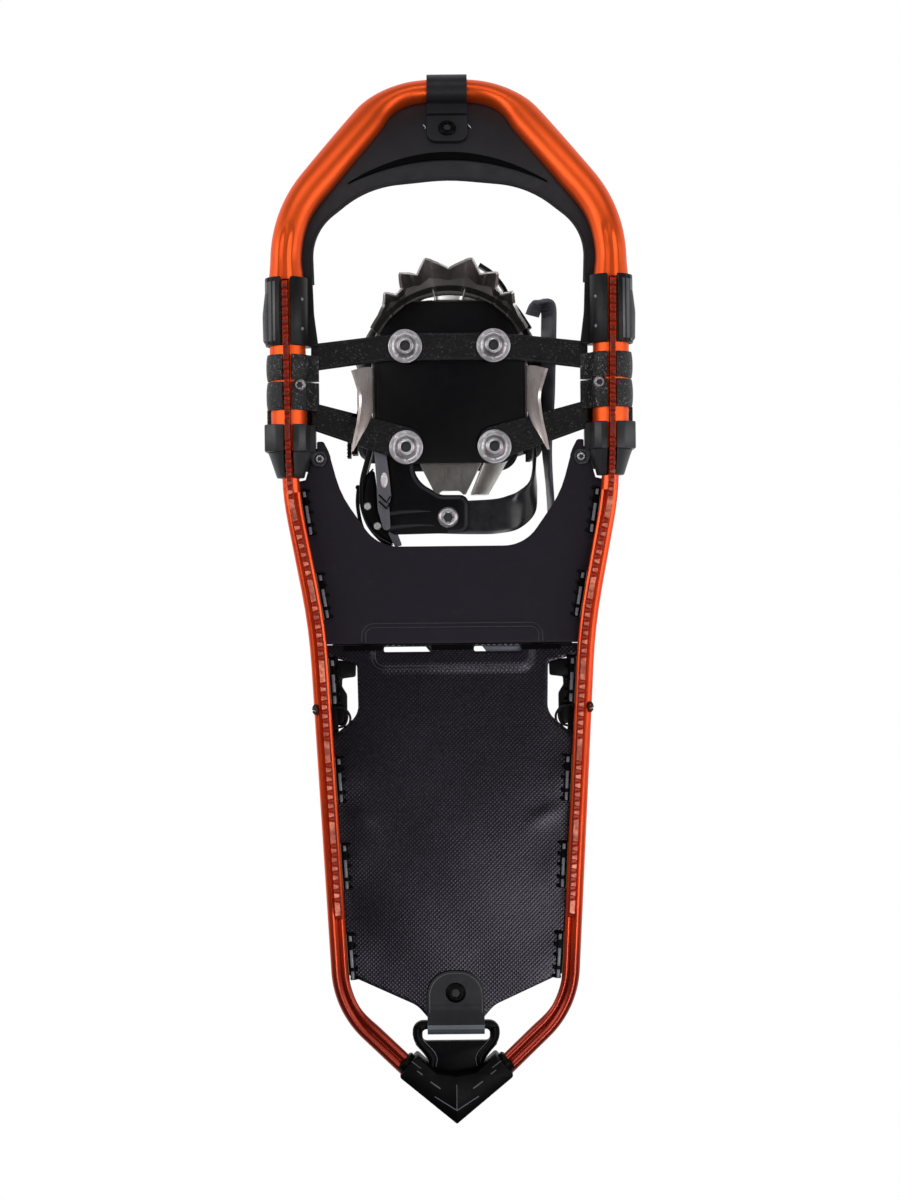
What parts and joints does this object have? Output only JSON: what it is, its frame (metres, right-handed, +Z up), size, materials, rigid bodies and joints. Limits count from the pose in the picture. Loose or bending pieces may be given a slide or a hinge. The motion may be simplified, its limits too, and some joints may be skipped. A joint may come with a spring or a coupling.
{
  "type": "snowshoe",
  "caption": "Mountain snowshoe: tubular nose hoop and toothed side rails round a sheet deck, with a strap-hung pivoting binding, a steel toe crampon, and a folding heel lift.",
  "frame": {"origin": "centre of the bounding box on the ground plane that the rail teeth stand on", "axes": "+X the wearer's right, +Y forwards along the shoe's length, +Z up; a right-foot shoe"},
  "size_m": [0.2224, 0.635, 0.1191],
  "materials": {
    "orange_tube": "satin orange anodised tube",
    "orange_rail": "deeper orange anodised rail, brighter on cut teeth",
    "black_plastic": "moulded black, fine satin grain",
    "binding_plastic": "moulded black, satin, slightly scuffed",
    "deck_sheet": "coated woven deck sheet, low sheen",
    "webbing": "rubber-coated webbing, speckled weave",
    "zinc_steel": "bright zinc plated",
    "crampon_steel": "bare stainless sheet, grey with a bronze cast",
    "grey_strap": "flexible grey ladder strap"
  },
  "bodies": {
    "frame": {"front_tube": "orange_tube", "rail_right": "orange_rail", "rail_left": "orange_rail", "tail_cap": "black_plastic", "front_collar_right": "black_plastic", "front_collar_left": "black_plastic", "rear_collar_right": "black_plastic", "rear_collar_left": "black_plastic", "nose_deck": "black_plastic", "nose_strap": "black_plastic", "nose_rivet": "black_plastic", "tail_tab": "black_plastic", "tail_rivet": "black_plastic", "heel_lift_base": "black_plastic", "deck_clip_right_1": "black_plastic", "deck_clip_right_2": "black_plastic", "deck_clip_right_3": "black_plastic", "deck_clip_right_4": "black_plastic", "deck_clip_right_5": "black_plastic", "deck_clip_right_6": "black_plastic", "deck_clip_left_1": "black_plastic", "deck_clip_left_2": "black_plastic", "deck_clip_left_3": "black_plastic", "deck_clip_left_4": "black_plastic", "deck_clip_left_5": "black_plastic", "deck_clip_left_6": "black_plastic", "front_deck": "deck_sheet", "rear_deck": "deck_sheet", "front_strap": "webbing", "rear_strap_right": "webbing", "rear_strap_left": "webbing", "strap_sleeve_right": "webbing", "strap_sleeve_left": "webbing", "tie_loop_right": "webbing", "tie_loop_left": "webbing", "corner_rivet_right": "zinc_steel", "corner_rivet_left": "zinc_steel", "sleeve_rivet_right": "zinc_steel", "sleeve_rivet_left": "zinc_steel"},
    "heel_lift": {"heel_lift_bail": "zinc_steel"},
    "binding": {"binding_plate": "binding_plastic", "footbed": "binding_plastic", "heel_arm": "binding_plastic", "heel_band": "binding_plastic", "harness_wing_right": "binding_plastic", "harness_wing_left": "binding_plastic", "heel_buckle": "binding_plastic", "instep_buckle": "binding_plastic", "toe_crampon": "crampon_steel", "heel_brace": "crampon_steel", "toe_strap": "grey_strap", "instep_strap": "grey_strap", "heel_strap": "grey_strap", "heel_band_rivet": "zinc_steel", "binding_bolt_front_right": "zinc_steel", "binding_bolt_front_left": "zinc_steel", "binding_bolt_rear_right": "zinc_steel", "binding_bolt_rear_left": "zinc_steel"},
    "heel_lever": {"heel_buckle_lever": "binding_plastic"},
    "instep_lever": {"instep_lever": "binding_plastic"}
  },
  "joints": [
    {"name": "binding_pivot", "type": "hinge", "parent": "frame", "child": "binding", "pos_m": [0, 0.1225, 0.022], "axis": [-1, 0, 0], "range_deg": [0, 50], "stiffness_Nm_per_rad": 0.4, "deforming": ["front_strap", "rear_strap_right", "rear_strap_left"]},
    {"name": "heel_lift", "type": "hinge", "parent": "frame", "child": "heel_lift", "pos_m": [0, -0.0265, 0.0276], "axis": [-1, 0, 0], "range_deg": [0, 95]},
    {"name": "heel_buckle_lever", "type": "hinge", "parent": "binding", "child": "heel_lever", "pos_m": [0.0572, 0.063, 0.0423], "axis": [0, 0, 1], "range_deg": [0, 60]},
    {"name": "instep_buckle_lever", "type": "hinge", "parent": "binding", "child": "instep_lever", "pos_m": [0.0623, 0.107, 0.058], "axis": [0, 0, 1], "range_deg": [0, 60]}
  ]
}
